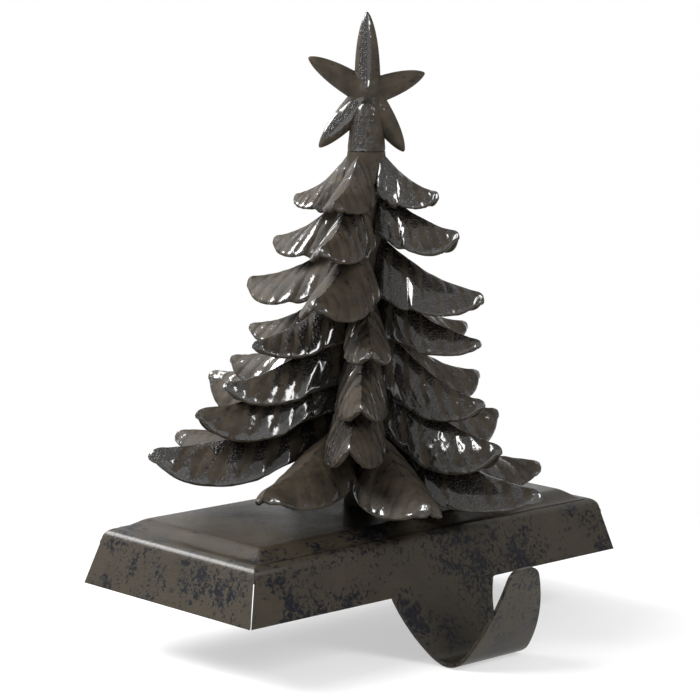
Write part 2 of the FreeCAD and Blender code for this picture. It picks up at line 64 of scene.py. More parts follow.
# Branch rings from the top down. pitch: height of the hub. reach: axis to branch tip. drop: hub top
# to tip. sag: how far the branch edges hang below the tip. half_width: crest to flank edge. turn:
# bearing of the first branch. lift and shift: how far the left side of the ring stands higher and
# longer. rib: spacing of the ribs.
RING_FIELDS = (
    "count", "pitch", "reach", "drop", "sag", "half_width", "turn", "lift", "shift", "rib",
)
RINGS = {
    1: (4, 10.0, 22.8, 12.0, 2.4, 6.2, 22.0, -1.7, 0.0, 3.0),
    2: (4, 14.0, 29.8, 13.7, 3.8, 7.0, 20.0, -2.8, 0.0, 3.4),
    3: (4, 12.0, 37.2, 14.6, 5.4, 9.0, 23.0, -0.1, 0.0, 4.2),
    4: (6, 12.0, 37.8, 16.2, 3.6, 6.2, 49.0, -0.6, 0.0, 4.6),
    5: (6, 12.0, 42.9, 18.4, 5.0, 6.8, 45.0, 2.3, 2.4, 5.0),
    6: (6, 14.0, 50.4, 16.3, 7.6, 7.8, 41.5, 4.6, 2.6, 5.2),
    7: (8, 14.0, 60.2, 16.2, 5.4, 10.0, 19.3, 3.4, 2.6, 6.5),
}
RINGS = {ring: dict(zip(RING_FIELDS, values)) for ring, values in RINGS.items()}

# Branches whose tip stands higher, reaches further or hangs deeper than its ring's, as
# (ring, branch): (height, length, depth)
UNEVEN_BRANCHES = {
    (1, 4): (0.0, 0.0, 1.0),
    (2, 4): (0.0, 0.0, 1.8),
    (5, 2): (0.9, 0.9, 0.9),
    (5, 6): (2.2, 0.0, 1.5),
    (6, 2): (2.9, 3.3, 2.5),
    (6, 6): (2.7, -1.8, 1.5),
    (7, 4): (2.6, 1.6, 3.0),
    (7, 8): (0.8, 0.0, 0.0),
}

# Branches that are more, or less, bare of the matte brown coat than the others
POLISHED = {
    (1, 2): -0.36,
    (1, 3): -0.12,
    (1, 4): 0.25,
    (2, 2): -0.30,
    (2, 3): -0.10,
    (2, 4): 0.30,
    (3, 2): -0.18,
    (3, 3): -0.12,
    (3, 4): 0.25,
    (4, 3): 0.10,
    (4, 4): 0.15,
    (4, 5): 0.20,
    (5, 3): 0.15,
    (5, 4): 0.10,
    (5, 5): 0.20,
    (6, 3): 0.20,
    (6, 4): 0.10,
    (6, 5): 0.20,
    (7, 4): 0.20,
    (7, 5): -0.15,
    (7, 6): -0.25,
    (7, 7): 0.25,
}


# Form of a branch. Stations run from 0 at the hub to 1 at the tip.

BRANCH_ROOT = 4.8
REACH_SHARE = 0.995  # of a branch's reach, up to its last cross section
WALL = 2.0
THINNEST_WALL = 0.2
EDGE_RADIUS = 1.0
RING_CLEARANCE = 0.4  # from a flank's edge to the ring below
STATIONS = 84
STATION_POWER = 0.88  # below 1: cross sections crowd towards the tip
FLANK_POINTS = 32
FLANK_POWER = 0.9  # below 1: points crowd towards the flank's edge

CREST_POWER = 1.8  # fall of the ridge from hub to tip
CREST_WAVE, CREST_WAVE_PERIODS = 0.22, (6.0, 1.0)
CREST_WAVE_BAND = (0.0, 0.3)  # stations over which the waves grow
NOSE_START, NOSE_POWER = 0.5, 0.6  # narrowing in plan
BLUNT_WIDTH = 0.26  # least width, in half widths
SWELL, SWELL_END = 0.14, 0.85  # extra width in the middle
MEETING_LAP = 0.7  # how far a flank runs past the middle line to its neighbour
RAKE = 0.12  # how far a flank's edge runs ahead of the ridge, in reaches
BELLY_POWER, BELLY_ROUNDING = 1.9, 0.7  # course of the sag
TIP_DROOP = 0.35  # share of the sag that is left at the tip
BOW_START, BOW_POWER = 0.78, 3  # rise of the edge to the tip
BLUNT_DEPTH = 0.4  # least depth, in half widths
ROOT_DRAPE, DRAPE_STATION, DRAPE_SPREAD = 2.2, 0.22, 0.13  # extra sag near the hub
LAST_DRAPED_RING = 3
TIP_CLOSING, TIP_SIZE = 0.93, 0.08  # where the sections draw together, and what is left of them

FLANK_SLOPE, FLANK_BEND = 0.45, 2.6  # straight share of a flank's fall, and curve of the rest
LEAST_FALL = 1.3 * WALL  # of a flank, from ridge to edge
RIM_RISE, RIM_INSET = 0.35 * EDGE_RADIUS, 0.4 * EDGE_RADIUS  # room for the rounded rim
RIM_PROFILE = ((0.8, 0.6), (0.3, 0.95), (-0.5, 0.85))  # (outwards in half walls, down in radii)
RIDGE_WALL, RIDGE_SHARE = 1.25 * WALL, 0.8  # wall under the ridge, and most of the depth it takes
BACK_GAP = 0.05  # least distance of the back from the branch's middle plane
ROOF_SLOPE = 0.42  # fall of a branch's flanks as the ring above clears them
ROOF_MARGIN = 1.5

# Ribs and grain. Bands are (from, to); periods are (along the branch, down the flank) in mm.
RIB_DEPTH = 0.42
RIB_LEAN, RIB_FAN = 0.10, 0.75  # slant of the ribs at the hub, and how much more at the tip
RIB_ROUNDNESS, RIB_MIDDLE = 0.55, 0.66
RIB_DRIFT, RIB_DRIFT_PERIODS = 0.30, (11.0, 14.0)
RIB_STRENGTH, RIB_STRENGTH_SPREAD, RIB_STRENGTH_PERIODS = 0.75, 0.45, (7.0, 40.0)
RIB_RIDGE_BAND, RIB_TIP_BAND, RIB_HUB_BAND = (0.02, 0.22), (0.86, 0.99), (0.0, 0.1)
GRAIN_DEPTH, GRAIN_PERIODS = 0.14, (2.0, 2.4)
STRENGTH_SEED, GRAIN_SEED, BARE_SEED = 50, 80, 30  # added to the branch's own

HUB_BORE = 2.7
HUB_RADIUS = 5.4
HUB_SKIRT = 6.6
SKIRT_RISE = 1.2
WAIST_WIDTH, WAIST_HEIGHT = 0.55, 0.45  # from HUB_RADIUS to HUB_SKIRT, and up the hub

# How bare of the matte brown coat a branch is
BARE_FLOOR = 0.13
BARE_STREAK = 0.62
BARE_DRIFT, BARE_DRIFT_PERIODS = 0.30, (6.5, 9.0)
BARE_EDGE, BARE_EDGE_BAND = 0.3, (0.88, 0.97)
BARE_RIDGE, BARE_RIDGE_BAND = 0.35, (0.0, 0.06)
BARE_TIP, BARE_TIP_BAND = 0.15, (0.88, 0.98)
BARE_BACK = 0.2
BARE_HUB = 0.3
STREAK_LOSS, STREAK_LOSS_BAND = 0.6, (0.35, 0.8)  # share of the streaks that the tip lacks


# Mesh helpers

FOLD_ANGLE = math.radians(50)
HUB_SIDES = 48
WAVE_DAMPING, WAVE_GAIN = 1.6, 1.8


def mesh_object(name, points, faces, polish):
    """A mesh piece from points in millimetres, smooth except across sharp folds.

    polish is a value for each point: 0 where the matte brown coat covers the gloss, 1 where it is
    bare.
    """
    mesh = bpy.data.meshes.new(name)
    mesh.from_pydata((np.asarray(points) * MM).tolist(), [], faces)
    mesh.attributes.new("polish", "FLOAT", "POINT").data.foreach_set("value", polish)
    mesh.update()
    mesh.shade_smooth()
    mesh.set_sharp_from_angle(angle=FOLD_ANGLE)
    piece = bpy.data.objects.new(name, mesh)
    bpy.context.scene.collection.objects.link(piece)
    return piece


def loop_skin(sections, first_index=0, closed=True):
    """Quads through equal closed loops, with a face over either end.

    sections: array of (loops, points, 3). closed: whether the ends are covered.
    """
    loops, points = sections.shape[:2]
    faces = []
    for row in range(loops - 1):
        for k in range(points):
            after = (k + 1) % points
            a = first_index + row * points
            b = a + points
            faces.append((a + k, b + k, b + after, a + after))
    if closed:
        last = first_index + (loops - 1) * points
        faces.append(tuple(first_index + k for k in range(points)))
        faces.append(tuple(last + k for k in reversed(range(points))))
    return faces


def turned_loops(outline, sides):
    """Closed loops of a turned shape through (radius, height) points."""
    angles = np.linspace(0, 2 * math.pi, sides, endpoint=False)
    return np.array(
        [[(r * math.cos(a), r * math.sin(a), z) for a in angles] for r, z in outline]
    )


def rotated(points, bearing, rise=0.0):
    """Points turned about the trunk's axis, to a bearing in degrees, and lifted."""
    c, s = math.cos(math.radians(bearing)), math.sin(math.radians(bearing))
    x, y, z = points[..., 0], points[..., 1], points[..., 2]
    return np.stack([x * c - y * s, x * s + y * c, z + rise], -1)


def ease(f):
    return f * f * (3 - 2 * f)


def smoothstep(low, high, x):
    return ease(np.clip((x - low) / (high - low), 0.0, 1.0))


def past(start, x):
    """How far x is on its way from start to 1; 0 before the start."""
    return np.clip(x - start, 0, None) / (1 - start)


def wavy(x, y, periods, seed):
    """Smooth irregular values in about -1..1 from three octaves of three sines each."""
    r = np.random.default_rng(seed)
    x, y = x / periods[0], y / periods[1]
    total = np.zeros_like(x + y)
    weight = 0.0
    for octave in range(3):
        share = 1 / WAVE_DAMPING**octave
        for _ in range(3):
            a, b = r.normal(size=2) * 2**octave
            total = total + np.sin(a * x + b * y + r.uniform(0, 6.28)) * share
            weight += share
    return total / weight * WAVE_GAIN


# Branch castings

def hub_top(ring):
    return POST_TOP + sum(RINGS[lower]["pitch"] for lower in range(ring, LAST_RING + 1))


def branch_line(ring, branch):
    """Bearing, reach, tip height and sag of one branch."""
    p = RINGS[ring]
    bearing = p["turn"] + 360.0 * (branch - 1) / p["count"]
    lean = math.cos(math.radians(bearing - LEFT_BEARING))
    raised, longer, deeper = UNEVEN_BRANCHES.get((ring, branch), (0.0, 0.0, 0.0))
    reach = p["reach"] + p["shift"] * lean + longer
    tip = hub_top(ring) - p["drop"] + p["lift"] * lean + raised
    return bearing, reach, tip, p["sag"] + deeper


def crest_height(ring, branch, along):
    _, reach, tip, _ = branch_line(ring, branch)
    station = np.clip((along - BRANCH_ROOT) / (reach - BRANCH_ROOT), 0.0, 1.0)
    return tip + (hub_top(ring) - tip) * (1 - station) ** CREST_POWER


def roof(ring, x, y):
    """Height of a ring's upper side over points of the plan. Past the last ring: the platform."""
    height = np.full_like(x, PLATFORM_TOP)
    if ring > LAST_RING:
        return height
    p = RINGS[ring]
    height = np.where(np.hypot(x, y) < HUB_SKIRT, hub_top(ring), height)
    for branch in range(1, p["count"] + 1):
        bearing, reach, _, _ = branch_line(ring, branch)
        c, s = math.cos(math.radians(bearing)), math.sin(math.radians(bearing))
        along = x * c + y * s
        across = np.abs(y * c - x * s)
        over = (along > 0) & (along < reach + ROOF_MARGIN)
        over &= across < p["half_width"] + ROOF_MARGIN
        flank = crest_height(ring, branch, along) - ROOF_SLOPE * across
        height = np.where(over, np.maximum(height, flank), height)
    return height


def branch_course(ring, branch, seed):
    """One branch at each of its stations.

    along: distance of the ridge from the trunk's axis. crest: height of the ridge. rake: how far
    the flank's edge runs ahead of the ridge. width: ridge to edge in plan. hang: ridge to edge in
    height, where nothing is in the way.
    """
    p = RINGS[ring]
    _, reach, tip, sag = branch_line(ring, branch)
    station = np.linspace(0.0, 1.0, STATIONS) ** STATION_POWER
    along = BRANCH_ROOT + (REACH_SHARE * reach - BRANCH_ROOT) * station
    crest = crest_height(ring, branch, along)
    rake = RAKE * reach * (1 - station) * np.sin(math.pi * np.clip(2 * station, None, 1.0))

    nose = np.clip(1 - past(NOSE_START, station) ** 2, 0, None) ** NOSE_POWER
    swell = 1 + SWELL * np.sin(math.pi * np.clip(station / SWELL_END, 0, 1))
    meeting = (along + rake) * math.tan(math.pi / p["count"]) + MEETING_LAP
    width = np.minimum(p["half_width"] * swell, meeting) * nose
    width = np.clip(width, BLUNT_WIDTH * p["half_width"], None)

    before_tip = np.clip(station, 0, 0.9999)  # the sine stays above zero
    belly = np.sin(math.pi * before_tip**BELLY_POWER) ** BELLY_ROUNDING
    past_belly = station > 0.5 ** (1 / BELLY_POWER)
    droop = sag * np.where(past_belly, TIP_DROOP + (1 - TIP_DROOP) * belly, belly)
    drape = ROOT_DRAPE * np.exp(-(((station - DRAPE_STATION) / DRAPE_SPREAD) ** 2))
    drape = drape * (ring <= LAST_DRAPED_RING)
    bow = np.sqrt(np.clip(1 - past(BOW_START, station) ** BOW_POWER, 0, None))
    hang = (crest - tip + 0.5 * WALL + droop + drape) * bow
    hang = np.clip(hang, BLUNT_DEPTH * p["half_width"], None)

    wave = CREST_WAVE * wavy(along, 0.0, CREST_WAVE_PERIODS, seed)
    crest = crest + wave * smoothstep(*CREST_WAVE_BAND, station)
    return station, along, crest, rake, width, hang


def flank_edge(ring, branch, side, along, crest, width, hang):
    """Height of a flank's lower edge, which rests above the ring below and under the ridge."""
    bearing, _, _, _ = branch_line(ring, branch)
    c, s = math.cos(math.radians(bearing)), math.sin(math.radians(bearing))
    lowest = roof(ring + 1, along * c - side * width * s, along * s + side * width * c)
    edge = np.maximum(crest - hang, lowest + RING_CLEARANCE)
    return np.minimum(edge, crest - LEAST_FALL) + RIM_RISE


def rib_phase(along, down, station, spacing):
    """Count of ribs up to a point: steep at the hub and fanned out at the tip."""
    return (along - (RIB_LEAN + RIB_FAN * station) * down) / spacing


def rib_relief(along, down, station, spacing, seed):
    """Rounded ribs with narrow grooves between them."""
    drift = RIB_DRIFT * wavy(along, down, RIB_DRIFT_PERIODS, seed)
    phase = rib_phase(along, down, station, spacing) + drift
    ridge = np.abs(np.sin(math.pi * phase)) ** RIB_ROUNDNESS - RIB_MIDDLE
    spread = RIB_STRENGTH_SPREAD * wavy(along, down, RIB_STRENGTH_PERIODS, seed + STRENGTH_SEED)
    return ridge * (RIB_STRENGTH + spread) * RIB_DEPTH


def flank_relief(x, down, station, u, spacing, side, seed):
    """Height of ribs and cast grain over the smooth flank."""
    relief = rib_relief(x, down, station, spacing, seed + 5 * (side + 1))
    relief = relief * smoothstep(*RIB_RIDGE_BAND, u) * (1 - smoothstep(*RIB_TIP_BAND, station))
    relief = relief * smoothstep(*RIB_HUB_BAND, station)
    return relief + GRAIN_DEPTH * wavy(x, down, GRAIN_PERIODS, seed + GRAIN_SEED + side)


def flank_polish(x, down, station, u, spacing, side, seed):
    """How bare a flank is: in streaks along the ribs, and along its ridge, edge and tip."""
    streak = np.sin(math.pi * rib_phase(x, down, station, spacing)) ** 2
    streak = streak * (1 - STREAK_LOSS * smoothstep(*STREAK_LOSS_BAND, station))
    polish = BARE_FLOOR + BARE_STREAK * streak
    polish = polish + BARE_DRIFT * wavy(x, down, BARE_DRIFT_PERIODS, seed + BARE_SEED + side)
    polish = polish + BARE_EDGE * smoothstep(*BARE_EDGE_BAND, u)
    polish = polish + BARE_RIDGE * (1 - smoothstep(*BARE_RIDGE_BAND, u))
    return polish + BARE_TIP * smoothstep(*BARE_TIP_BAND, station)


def inner_skin(x, y, z, slope, crest, edge, depth, outer):
    """The flank's hollow back, a wall's thickness behind its outer skin."""
    across = np.clip(y - WALL * np.sin(slope), BACK_GAP, None)
    inner = np.stack([x, across, z - WALL * np.cos(slope)], -1)
    inner[:, 0, 1] = 0.0
    inner[:, 0, 2] = crest - np.minimum(RIDGE_WALL, RIDGE_SHARE * depth[:, 0])
    inner[:, :, 2] = np.clip(inner[:, :, 2], edge[:, None], outer[:, :, 2] - THINNEST_WALL)
    return inner


def rim_points(outer, inner):
    """The rounded lower edge between a flank's outer skin and its back."""
    middle = (outer[:, -1] + inner[:, -1]) / 2
    out = outer[:, -1] - middle
    tangent = outer[:, -1] - outer[:, -3]
    tangent /= np.linalg.norm(tangent, axis=1)[:, None] + 1e-9
    radius = np.minimum(np.linalg.norm(out, axis=1), EDGE_RADIUS)[:, None]
    return np.stack([middle + out * a + tangent * radius * b for a, b in RIM_PROFILE], 1)


def branch_loops(ring, branch, seed):
    """Closed cross sections of one branch, placed around the trunk, and how bare their points are.

    The crest line is sharp, the flanks bulge a little and end in a thick rounded rim, and the back
    is hollow. Near the hub the flanks reach the neighbouring branches and make a folded skirt with
    them.
    """
    spacing = RINGS[ring]["rib"]
    station, along, crest, rake, width, hang = branch_course(ring, branch, seed)
    t = station[:, None]
    u = np.linspace(0.0, 1.0, FLANK_POINTS) ** FLANK_POWER
    across = u[None, :]
    flanks = []
    for side in (-1, 1):
        edge = flank_edge(ring, branch, side, along + rake, crest, width, hang)
        depth = (crest - edge)[:, None]
        x = along[:, None] + rake[:, None] * across
        y = (width - RIM_INSET)[:, None] * across
        fall = (FLANK_SLOPE * u + (1 - FLANK_SLOPE) * u**FLANK_BEND)[None, :]
        z = crest[:, None] - depth * fall
        down = np.hypot(y, crest[:, None] - z)
        slope = np.arctan2(np.gradient(-z, axis=1), np.gradient(y, axis=1))
        relief = flank_relief(x, down, t, across, spacing, side, seed)
        outer = np.stack([x, y + relief * np.sin(slope), z + relief * np.cos(slope)], -1)
        inner = inner_skin(x, y, z, slope, crest, edge, depth, outer)
        rim = rim_points(outer, inner)
        for part in (outer, inner, rim):
            part[:, :, 1] *= side
        polish = flank_polish(x, down, t, across, spacing, side, seed)
        flanks.append((outer, inner, rim, polish + POLISHED.get((ring, branch), 0.0)))

    (right, right_back, right_rim, right_polish), (left, left_back, left_rim, left_polish) = flanks
    loops = np.concatenate(
        [right[:, ::-1], left[:, 1:], left_rim, left_back[:, ::-1], right_back[:, 1:],
         right_rim[:, ::-1]],
        axis=1,
    )
    polish = np.full(loops.shape[:2], BARE_BACK)
    face_polish = np.concatenate([right_polish[:, ::-1], left_polish[:, 1:]], axis=1)
    polish[:, : face_polish.shape[1]] = face_polish

    # The last sections draw together into a rounded tip
    heart = 0.5 * (loops.min(axis=1) + loops.max(axis=1))[:, None]
    closing = np.sqrt(np.clip(1 - past(TIP_CLOSING, t) ** 2, 0.0, None))
    closing = (TIP_SIZE + (1 - TIP_SIZE) * closing)[:, None]
    loops = heart + (loops - heart) * closing
    return rotated(loops, branch_line(ring, branch)[0]), polish


def hub_loops(ring):
    top = hub_top(ring)
    pitch = RINGS[ring]["pitch"]
    seat = top - pitch
    waist = (1 - WAIST_WIDTH) * HUB_RADIUS + WAIST_WIDTH * HUB_SKIRT
    return turned_loops(
        [(HUB_BORE, seat), (HUB_RADIUS, seat), (HUB_SKIRT, seat + SKIRT_RISE),
         (waist, seat + WAIST_HEIGHT * pitch), (HUB_RADIUS, top), (HUB_BORE, top)],
        HUB_SIDES,
    )


def branch_ring(ring):
    """One casting: its branches and the hub that they grow from."""
    points, faces, shine = [], [], []
    count = 0
    for branch in range(1, RINGS[ring]["count"] + 1):
        loops, polish = branch_loops(ring, branch, 100 * ring + 7 * branch)
        faces += loop_skin(loops, count)
        points.append(loops.reshape(-1, 3))
        shine.append(polish.ravel())
        count += len(points[-1])
    hub = hub_loops(ring)
    faces += loop_skin(hub, count)
    points.append(hub.reshape(-1, 3))
    shine.append(np.full(len(points[-1]), BARE_HUB))
    name = f"branches_{ring}"
    piece = mesh_object(name, np.concatenate(points), faces, np.concatenate(shine))
    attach(piece, "root")
    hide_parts(f"branch_ring_{ring}")
    return piece


# Folded base

BASE_CUT = 12.5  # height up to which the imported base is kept
BASE_LENGTH, BASE_WIDTH = 150.0, 70.0
FLANGE_HEIGHT = 15.8
SHEET = 1.2
END_FLARE, SIDE_FLARE = 4.7, 3.8
END_BEND, SIDE_BEND = 3.6, 3.0
PLATFORM_END_INSET, PLATFORM_SIDE_INSET = 9.8, 7.2
STEP_RUN, STEP_LEAD = 6.6, 0.30  # width of the soft step, and its share outside the platform
HOLE_RADIUS = 2.7
SHOULDER_ARCS, STEP_PARTS, CORNER_POINTS = 10, 16, 12
CORNER_RADIUS, CORNER_GAIN = 0.25, 1.1  # of the plan at the cut, and how much more at the platform
CORNER_STEPS = (6, 12)  # loops between which the corners widen
TOP_SPREADS = (0.7, 0.35, 0.0)  # loops over the platform, from its edge in to the hole
BASE_FOLD_ANGLE = math.radians(32)


def pan_section(half, flare, bend, inset, skin):
    """Points over the shoulder and up the soft step, as (distance from the middle, height).

    skin: depth under the outer face.
    """
    lean = math.atan2(flare, FLANGE_HEIGHT)
    shoulder = half - flare - skin / math.cos(lean) + math.tan(lean) * skin
    top = FLANGE_HEIGHT - skin
    radius = bend - skin
    setback = radius * math.tan((math.pi / 2 - lean) / 2)
    centre = (shoulder - setback, top - radius)
    start = half - skin / math.cos(lean) - math.tan(lean) * BASE_CUT
    points = [(start, BASE_CUT)]
    for k in range(SHOULDER_ARCS + 1):
        a = lean + (math.pi / 2 - lean) * k / SHOULDER_ARCS
        points.append((centre[0] + radius * math.cos(a), centre[1] + radius * math.sin(a)))
    edge = half - inset - skin
    for k in range(STEP_PARTS + 1):
        f = k / STEP_PARTS
        rise = (PLATFORM_TOP - FLANGE_HEIGHT) * ease(f)
        points.append((edge + STEP_RUN * (STEP_LEAD - f), top + rise))
    return points


def rounded_rectangle(end, side, end_height, side_height, radius):
    """A closed loop with rounded corners, whose height runs from the ends' to the sides'."""
    loop = []
    radius = min(radius, end, side)
    for corner, (sx, sy) in enumerate(((1, 1), (-1, 1), (-1, -1), (1, -1))):
        for k in range(CORNER_POINTS):
            f = k / (CORNER_POINTS - 1)
            a = math.pi / 2 * (f if corner % 2 == 0 else 1 - f)
            x = sx * (end - radius + radius * math.cos(a))
            y = sy * (side - radius + radius * math.sin(a))
            height = end_height + (side_height - end_height) * a / (math.pi / 2)
            loop.append((x, y, height))
    return loop


def pan_skin(skin):
    """Loops of the base's upper part from the cut up to the rod's hole. skin: as in pan_section."""
    end = pan_section(BASE_LENGTH / 2, END_FLARE, END_BEND, PLATFORM_END_INSET, skin)
    side = pan_section(BASE_WIDTH / 2, SIDE_FLARE, SIDE_BEND, PLATFORM_SIDE_INSET, skin)
    loops = []
    for step, ((x, zx), (y, zy)) in enumerate(zip(end, side)):
        corner = CORNER_RADIUS + CORNER_GAIN * smoothstep(*CORNER_STEPS, step)
        loops.append(rounded_rectangle(x, y, zx, zy, corner))
    top = PLATFORM_TOP - skin
    for spread in TOP_SPREADS:
        x = HOLE_RADIUS + spread * (end[-1][0] - HOLE_RADIUS)
        y = HOLE_RADIUS + spread * (side[-1][0] - HOLE_RADIUS)
        loops.append(rounded_rectangle(x, y, top, top, HOLE_RADIUS))
    return loops


def mantel_base():
    """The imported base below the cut, with seams and hook, and above it a softly stepped top."""
    name = "base"
    shape = bmesh.new()
    shape.from_mesh(frame["nodes"]["mantel_base"].data)
    everything = shape.verts[:] + shape.edges[:] + shape.faces[:]
    bmesh.ops.bisect_plane(
        shape, geom=everything, plane_co=(0, 0, BASE_CUT * MM), plane_no=(0, 0, 1),
        clear_outer=True,
    )
    loops = np.array(pan_skin(0.0) + pan_skin(SHEET)[::-1])
    verts = [shape.verts.new(Vector(point) * MM) for point in loops.reshape(-1, 3)]
    for face in loop_skin(loops, closed=False):
        shape.faces.new([verts[k] for k in face])
    mesh = bpy.data.meshes.new(name)
    shape.to_mesh(mesh)
    shape.free()
    mesh.shade_smooth()
    mesh.set_sharp_from_angle(angle=BASE_FOLD_ANGLE)
    piece = bpy.data.objects.new(name, mesh)
    bpy.context.scene.collection.objects.link(piece)
    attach(piece, "root")
    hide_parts("mantel_base")
    return piece


# Star finial

STAR_SEAT = 121.8
STAR_CENTRE = 138.2
STAR_FACING = -134.7
STAR_ARMS = ((91.4, 23.5), (149.6, 20.0), (229.0, 20.9), (303.4, 19.8), (20.8, 17.5))
STAR_HALF_WIDTH = 3.75
STAR_HALF_THICKNESS = 3.5
STAR_DIRECTIONS, STAR_STEPS = 360, 42
STAR_FIRST_STEP = 0.03  # share of the way out
OUTLINE_SAMPLES, OUTLINE_START = 500, 0.2
ARM_TAPER, ARM_FULLNESS = 2.6, 0.70
ARM_DOME = 0.72  # round share of an arm's section; the rest is a ridge
ARM_THINNING = 0.30
ARM_DEPTH_POWER = 0.8  # how the arms grow thinner as they grow narrower
ARM_JOINING = 4  # the arms' heights run together as the fourth root of the sum of fourth powers
STAR_EDGE = 0.02  # half the thickness that is left at the outline
STAR_EDGE_BAND = (0.985, 1.0)  # shares of the way out over which the face turns down to it
STAR_GRAIN, STAR_GRAIN_PERIODS, STAR_GRAIN_SEED = 0.10, (2.2, 2.2), 901
COLLAR_SIDES = 64
STAR_COLLAR = (
    (2.6, 0.0), (5.1, 0.0), (5.4, 0.3), (5.4, 1.2), (5.1, 4.5), (4.85, 8.0), (4.7, 10.2),
    (4.3, 12.0), (3.5, 13.8), (2.3, 15.4),
)

# Directions in which the star is bare of the matte brown coat, and how wide
POLISHED_ARMS = ((99.0, 0.06), (220.0, 0.06))
STAR_BARE, STAR_BARE_PERIODS, STAR_BARE_SEED = 0.22, (5.0, 5.0), 903
COLLAR_BARE, COLLAR_BARE_PERIODS, COLLAR_BARE_SEED = 0.34, (3.0, 3.0), 905
STAR_BARE_DRIFT = 0.25
STAR_MIDDLE_BAND = (1.0, 4.0)  # mm from the star's middle over which the polish grows
STAR_EDGE_COAT, STAR_COAT_BAND = 0.8, (0.55, 0.88)  # more of the coat towards the outline


def arm_half_width(station):
    taper = np.clip(1 - np.clip(station, 0, 1) ** ARM_TAPER, 0, None)
    return STAR_HALF_WIDTH * taper**ARM_FULLNESS


def star_outline(angles):
    """Distance from the star's centre to its outline in each direction."""
    radius = np.zeros_like(angles)
    for bearing, length in STAR_ARMS:
        off = angles - math.radians(bearing)
        steps = np.linspace(OUTLINE_START, length, OUTLINE_SAMPLES)
        along = steps[None, :] * np.cos(off)[:, None]
        across = np.abs(steps[None, :] * np.sin(off)[:, None])
        inside = (along > 0) & (across <= arm_half_width(along / length))
        radius = np.maximum(radius, np.where(inside, steps[None, :], 0).max(axis=1))
    return (np.roll(radius, 1) + 2 * radius + np.roll(radius, -1)) / 4


def star_height(x, z):
    """Half the star's thickness: the arms as soft ridges that run together in the middle."""
    total = np.zeros_like(x)
    for bearing, length in STAR_ARMS:
        a = math.radians(bearing)
        along = x * math.cos(a) + z * math.sin(a)
        across = np.abs(z * math.cos(a) - x * math.sin(a))
        station = np.clip(along / length, 0, 1)
        width = arm_half_width(station) + 1e-6
        off = np.clip(across / width, 0, 1)
        back = np.clip(1 + along / STAR_HALF_WIDTH, 0, 1) ** 0.5
        dome = ARM_DOME * np.sqrt(1 - off**2) + (1 - ARM_DOME) * (1 - off)
        ridge = STAR_HALF_THICKNESS * (1 - ARM_THINNING * station)
        ridge = ridge * (width / STAR_HALF_WIDTH) ** ARM_DEPTH_POWER
        total += (ridge * dome * back) ** ARM_JOINING
    return total ** (1 / ARM_JOINING)


def star_polish(x, z, steps):
    """How bare the star's face is, all over and in the polished directions."""
    polish = STAR_BARE + STAR_BARE_DRIFT * wavy(x, z, STAR_BARE_PERIODS, STAR_BARE_SEED)
    for bearing, spread in POLISHED_ARMS:
        toward = np.cos(np.arctan2(z, x) - math.radians(bearing))
        bare = smoothstep(1 - spread, 1.0, toward)
        polish = polish + bare * smoothstep(*STAR_MIDDLE_BAND, np.hypot(x, z))
    return polish - STAR_EDGE_COAT * smoothstep(*STAR_COAT_BAND, steps)


def star_loops():
    """Rings of points from the middle of the star's front over its outline to the middle behind."""
    angles = np.linspace(0, 2 * math.pi, STAR_DIRECTIONS, endpoint=False)
    outline = star_outline(angles)
    steps = np.sin(np.linspace(STAR_FIRST_STEP, 1.0, STAR_STEPS) * math.pi / 2)[:, None]
    x = steps * (outline * np.cos(angles))[None, :]
    z = steps * (outline * np.sin(angles))[None, :]
    half = star_height(x, z) * (1 - smoothstep(*STAR_EDGE_BAND, steps))
    grain = wavy(x, z, STAR_GRAIN_PERIODS, STAR_GRAIN_SEED) * (1 - steps**6)
    half = np.clip(half + STAR_GRAIN * grain, STAR_EDGE, None)
    front = np.stack([x, -half, z], -1)
    rear = np.stack([x, half, z], -1)
    polish = star_polish(x, z, steps)
    loops = np.concatenate([front, rear[::-1]], axis=0)
    return loops, np.concatenate([polish, polish[::-1]], axis=0)


def star_finial():
    """A pillowed star of five uneven arms on a collar that swells up into its middle."""
    loops, polish = star_loops()
    star = rotated(loops, STAR_FACING + 90, STAR_CENTRE)
    collar = turned_loops([(r, STAR_SEAT + z) for r, z in STAR_COLLAR], COLLAR_SIDES)
    drift = wavy(collar[..., 0], collar[..., 1], COLLAR_BARE_PERIODS, COLLAR_BARE_SEED)
    collar_polish = COLLAR_BARE + STAR_BARE_DRIFT * drift
    points = np.concatenate([star.reshape(-1, 3), collar.reshape(-1, 3)])
    faces = loop_skin(star) + loop_skin(collar, star.shape[0] * star.shape[1])
    polish = np.concatenate([polish.ravel(), collar_polish.ravel()])
    piece = mesh_object("star", points, faces, polish)
    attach(piece, "root")
    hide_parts("star_finial")
    return piece


# Materials

CASTING_BROWNS = (
    (0.32, (0.022, 0.017, 0.012)),
    (0.50, (0.033, 0.026, 0.018)),
    (0.68, (0.045, 0.035, 0.024)),
)
CASTING_SPECKS = (0.010, 0.010, 0.013)
CASTING_BLACK = (0.015, 0.013, 0.011)
SHEET_BROWNS = ((0.3, (0.028, 0.023, 0.016)), (0.7, (0.037, 0.030, 0.021)))
SHEET_BLACK = (0.0035, 0.004, 0.007)
STEEL_GREYS = ((0.3, (0.42, 0.42, 0.43)), (0.7, (0.55, 0.55, 0.56)))
LEVEL = (0.5, 0.5, 0.5)  # a bump height with no relief


